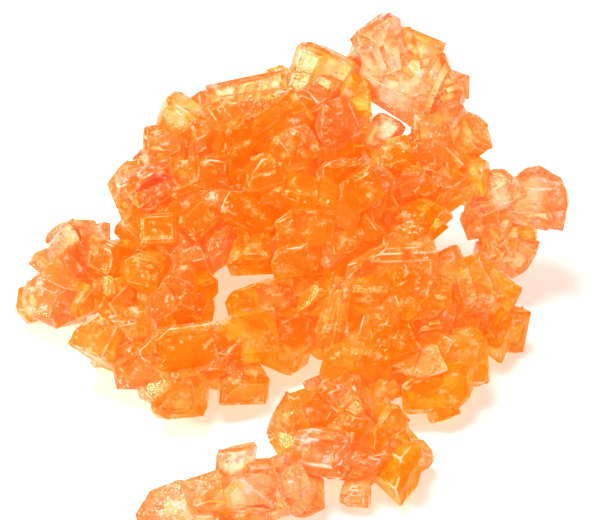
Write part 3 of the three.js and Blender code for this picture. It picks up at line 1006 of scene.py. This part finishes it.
for i, (name, item) in enumerate(strands.items()):
    roll = dice(layout["firstSeed"] + i * layout["seedStep"])
    others = list(filling)
    for key in strands:
        if key != name:
            others += stringLine(strands[key]["run"], strand["corePitch"])
    thin = [stop[:3] + [stop[3] * heart["share"]] for stop in item["run"]]
    core = makeCore(stringLine(thin, strand["corePitch"]), roll)  # the solid's draws begin with its core
    paleness = paleStrands.get(name, 0)
    if paleness <= heart["palest"]:
        hearts += core
    bodyRoll = dice(body["seed"] + i * layout["seedStep"])
    crystals += crossingCrystals(stringLine(item["run"], body["pitch"]), allNear, bodyRoll, paleness)
    twins = 1 if name in largeOnly else twin["onNear"]
    crystals += nearCrystals(item["crystals"], roll, paleNear.get(name, {}), twins)
    crystals += nearCrystals(item.get("fillers", []), detailRoll, {}, twin["onNear"])
    crystals += ringCrystals(stringLine(item["run"], strand["ringPitch"]), others, roll, paleness)
    smallRoll = dice(small["seed"] + i * layout["seedStep"])
    if name not in largeOnly:
        line = stringLine(item["run"], small["pitch"])
        crystals += smallCrystals(line, others, allNear, smallRoll, paleness)
for i, lump in enumerate(filling):
    crystals += lumpCrystals(lump["at"], lump["radius"], dice(body["seed"] - i * layout["seedStep"]))
hearts += [makeLump(lump["at"], lump["radius"] * heart["lump"]) for lump in filling]
print("joining")
crystalMesh = joinAndCut("crystals", crystals, crystalFloor)
heartMesh = joinAndCut("hearts", hearts, heart["floor"])

# ---- Sugar grains on the crystals ----
grains = {
    "seed": 5511,
    "size": (0.2, 0.6),  # mm
    "clusters": 80,
    "each": (2, 8),  # grains in a cluster
    "spread": 2.2,  # mm
    "gathered": (0.5, 1),  # of the spread
    "shapes": 6,
    "shapeDepth": (0.6, 1),  # of a grain's width, as those below
    "shapeHeight": (0.8, 1.4),
    "chipAim": (0.4, 1),
    "chipReach": (0.3, 0.5),
    "raised": 0.15,
    "grazing": -0.15,  # a face turned further away than this gets none
    "lowest": 1,  # mm
    "middle": (0, -32, 18),  # of the heap, in the layout
    "around": ((-50, 50), (-45, 45), (-14, 22)),  # a cluster's aim, from there
    "bearing": (0, 360),  # degrees, from which a cluster comes
    "elevation": (-15, 80),
    "clusterDistance": 150,  # mm from which grains are thrown
    "patchDistance": 120,
    "patches": [  # across, rise, radius and number of grains on the near side
        [-9.5, 30.5, 3.5, 70], [-12, 14, 2, 20], [17, 19, 4, 40], [24, 26, 5, 90],
        [27, 32, 3, 25], [-19, -12, 4, 30], [-22, -7, 3, 16], [16, -14, 4, 26],
        [-1, 25, 3, 20], [-38, 6, 3, 16], [-15, 8, 4, 24],
    ],
}


def grainTemplates(roll):
    templates = []
    for _ in range(grains["shapes"]):
        bm = bmesh.new()
        bmesh.ops.create_cube(bm, size=1)
        size = (1, roll(*grains["shapeDepth"]), roll(*grains["shapeHeight"]))
        bmesh.ops.scale(bm, vec=size, verts=bm.verts)
        normal = Vector([roll(*grains["chipAim"]) for _ in range(3)]).normalized()
        cutPlane(bm, normal * roll(*grains["chipReach"]), normal)
        mesh = bpy.data.meshes.new("grain")
        bm.to_mesh(mesh)
        bm.free()
        templates.append(mesh)
    return templates


def makeGrains(carrier):  # throws grains at the mesh that carries them
    roll = dice(grains["seed"])
    templates = grainTemplates(roll)
    bm = bmesh.new()
    bm.from_mesh(carrier)
    tree = BVHTree.FromBMesh(bm)
    bm.free()
    result = bmesh.new()

    def settle(origin, direction):
        place, normal = tree.ray_cast(origin, direction)[:2]
        if place is None:
            return
        size = roll(*grains["size"]) ** 2 / grains["size"][1]
        if place.z < grains["lowest"] or normal.dot(direction) > grains["grazing"]:
            return
        grain = templates[int(roll(0, len(templates) - 0.001))].copy()  # never one past the last
        angle = roll(0, fullTurn)
        turn = Matrix.Rotation(angle, 4, Vector([roll(-1, 1) for _ in range(3)]).normalized())
        seat = Matrix.Translation(place + normal * size * grains["raised"])
        grain.transform(seat @ turn @ Matrix.Scale(size, 4))
        result.from_mesh(grain)
        bpy.data.meshes.remove(grain)

    def scatter(origin, direction, spread, count):
        side = direction.orthogonal().normalized()
        up = direction.cross(side)
        for _ in range(count):
            angle = roll(0, fullTurn)
            reach = spread * math.sqrt(roll(0, 1)) * roll(*grains["gathered"])
            settle(origin + side * math.cos(angle) * reach + up * math.sin(angle) * reach, direction)

    for across, rise, spread, count in grains["patches"]:
        origin = placeAt(across, rise, 0) + towardsFront * grains["patchDistance"]
        scatter(origin, -towardsFront, spread, count)
    for _ in range(grains["clusters"]):
        outward = bearingVector(roll(*grains["bearing"]), roll(*grains["elevation"]))
        aim = Vector(grains["middle"]) + Vector([roll(*span) for span in grains["around"]])
        origin = aim + outward * grains["clusterDistance"]
        scatter(origin, -outward, grains["spread"], round(roll(*grains["each"])))
    mesh = bpy.data.meshes.new("grains")
    result.to_mesh(mesh)
    result.free()
    for template in templates:
        bpy.data.meshes.remove(template)
    print("grains", len(mesh.polygons), "faces")
    return mesh


grainMesh = makeGrains(crystalMesh)
finishPiece("sugar_crystals", crystalMesh, dyedRockSugar())
finishPiece("cloudy_hearts", heartMesh, cloudySugar())
finishPiece("sugar_grains", grainMesh, dryGrains())

# ---- Studio ----
studio = {
    "world": 0.22,
    "tone": (1, 0.96, 0.92, 1),
    "floor": "#FAFAFA",
    "floorSize": 3,  # m from the middle to a side
    "glow": 0.34,
    "glowTone": (1, 0.9, 0.88, 1),
    "aim": (0, 0, 0.02),
    "boxes": {  # place, width and radiance of each softbox
        "top": [(-0.2, 0.15, 0.95), 0.4, 7.4],
        "left": [(-0.85, -0.35, 0.5), 0.16, 42],
        "back": [(0.45, 0.85, 0.5), 0.16, 6],
    },
}


def makeStudio():
    world = bpy.data.worlds.new("studio")
    world.use_nodes = True
    scene.world = world
    world.node_tree.nodes["Background"].inputs["Color"].default_value = studio["tone"]
    world.node_tree.nodes["Background"].inputs["Strength"].default_value = studio["world"]
    bm = bmesh.new()
    bmesh.ops.create_grid(bm, x_segments=1, y_segments=1, size=studio["floorSize"])
    mesh = bpy.data.meshes.new("floor")
    bm.to_mesh(mesh)
    bm.free()
    floor = bpy.data.objects.new("floor", mesh)
    made, tree = newMaterial("paper")
    shader = addNode(tree, "BsdfPrincipled", {
        "Base Color": srgb(studio["floor"]), "Roughness": 0.9, "Emission Color": studio["glowTone"],
        "Emission Strength": studio["glow"],
    })
    addNode(tree, "OutputMaterial", {"Surface": shader.outputs["BSDF"]})
    mesh.materials.append(made)
    scene.collection.objects.link(floor)
    for name, (place, width, radiance) in studio["boxes"].items():
        box = bpy.data.objects.new(name, bpy.data.lights.new(name, "AREA"))
        box.data.size = width
        box.data.energy = radiance * math.pi * width * width
        box.location = place
        box.rotation_euler = (box.location - Vector(studio["aim"])).to_track_quat("Z", "Y").to_euler()
        scene.collection.objects.link(box)


print("studio")
makeStudio()
scene.view_settings.look = "High Contrast"
# Light crosses many crystals, and paths that end early leave them brown.
scene.cycles.max_bounces = 24
scene.cycles.transmission_bounces = 24
scene.cycles.transparent_max_bounces = 16
scene.cycles.diffuse_bounces = 24
scene.cycles.glossy_bounces = 24
